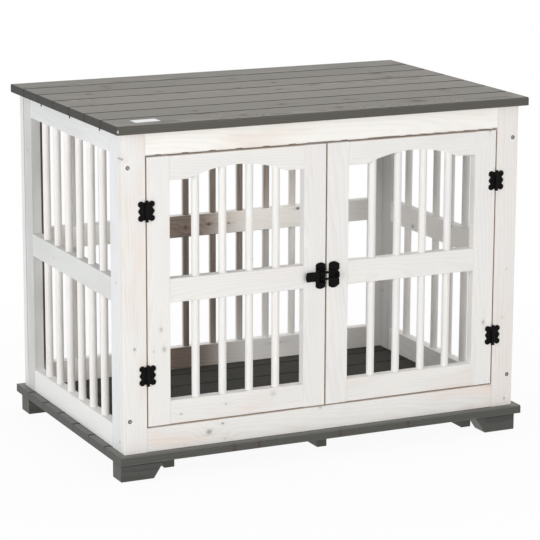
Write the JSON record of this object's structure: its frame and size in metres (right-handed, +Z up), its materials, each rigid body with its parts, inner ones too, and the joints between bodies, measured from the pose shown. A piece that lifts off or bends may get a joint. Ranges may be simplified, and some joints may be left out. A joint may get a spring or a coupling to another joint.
{
  "type": "dog cage",
  "caption": "Wooden indoor dog cage with dowel-barred walls, two arched barred doors on butterfly hinges, a toggle latch, and a boarded top and base on feet.",
  "frame": {"origin": "on the floor, under the middle of the cage", "axes": "+X to the right as seen from the doors, the doors face -Y, +Z up"},
  "size_m": [0.855, 0.57, 0.67],
  "materials": {
    "white_wood": "white-washed fir, matt",
    "grey_wood": "grey-stained boards, matt",
    "dark_wood": "dark grey-stained boards, matt",
    "black_iron": "black lacquered iron, satin",
    "zinc": "zinc-plated steel"
  },
  "bodies": {
    "root": {"top_front_board": "grey_wood", "top_middle_boards": "grey_wood", "top_back_board": "grey_wood", "base_front_board": "dark_wood", "base_middle_boards": "dark_wood", "base_back_board": "dark_wood", "base_battens": "dark_wood", "feet": "dark_wood", "left_front_post": "white_wood", "right_front_post": "white_wood", "front_head_rail": "white_wood", "front_sill_rail": "white_wood", "door_stop": "white_wood", "left_side_front_stile": "white_wood", "left_side_back_stile": "white_wood", "left_side_head_rail": "white_wood", "left_side_mid_rail": "white_wood", "left_side_sill_rail": "white_wood", "left_side_dowels": "white_wood", "right_side_front_stile": "white_wood", "right_side_back_stile": "white_wood", "right_side_head_rail": "white_wood", "right_side_mid_rail": "white_wood", "right_side_sill_rail": "white_wood", "right_side_dowels": "white_wood", "left_back_post": "white_wood", "right_back_post": "white_wood", "back_head_rail": "white_wood", "back_mid_rail": "white_wood", "back_sill_rail": "white_wood", "back_dowels": "white_wood", "left_hinge_frame_leaves": "black_iron", "right_hinge_frame_leaves": "black_iron", "hinge_pins": "black_iron", "frame_screws": "zinc", "top_screws": "zinc", "base_screws": "zinc", "hinge_frame_screws": "black_iron"},
    "left_door": {"left_door_hinge_stile": "white_wood", "left_door_latch_stile": "white_wood", "left_door_arched_rail": "white_wood", "left_door_mid_rail": "white_wood", "left_door_bottom_rail": "white_wood", "left_door_dowels": "white_wood", "left_door_screws": "black_iron", "left_hinge_door_leaves": "black_iron", "latch_plate": "black_iron", "latch_rivets": "black_iron"},
    "right_door": {"right_door_hinge_stile": "white_wood", "right_door_latch_stile": "white_wood", "right_door_arched_rail": "white_wood", "right_door_mid_rail": "white_wood", "right_door_bottom_rail": "white_wood", "right_door_dowels": "white_wood", "right_door_screws": "black_iron", "right_hinge_door_leaves": "black_iron", "latch_catch": "black_iron", "latch_bow": "black_iron"},
    "latch_lever": {"latch_lever": "black_iron"},
    "latch_loop": {"latch_loop": "black_iron"}
  },
  "joints": [
    {"name": "left_door_hinge", "type": "hinge", "parent": "root", "child": "left_door", "pos_m": [-0.36675, -0.2734, 0.354], "axis": [0, 0, -1], "range_deg": [0, 170]},
    {"name": "right_door_hinge", "type": "hinge", "parent": "root", "child": "right_door", "pos_m": [0.36675, -0.2734, 0.354], "axis": [0, 0, 1], "range_deg": [0, 170]},
    {"name": "latch_lever_pivot", "type": "hinge", "parent": "left_door", "child": "latch_lever", "pos_m": [-0.0065, -0.2764, 0.35525], "axis": [0, 0, 1], "range_deg": [0, 95]},
    {"name": "latch_loop_pivot", "type": "hinge", "parent": "latch_lever", "child": "latch_loop", "pos_m": [-0.0145, -0.2764, 0.35525], "axis": [0, 0, 1], "range_deg": [-110, 0]}
  ],
  "couplings": [
    {"joint": "latch_loop_pivot", "follows": "latch_lever_pivot", "ratio": -1.15}
  ]
}
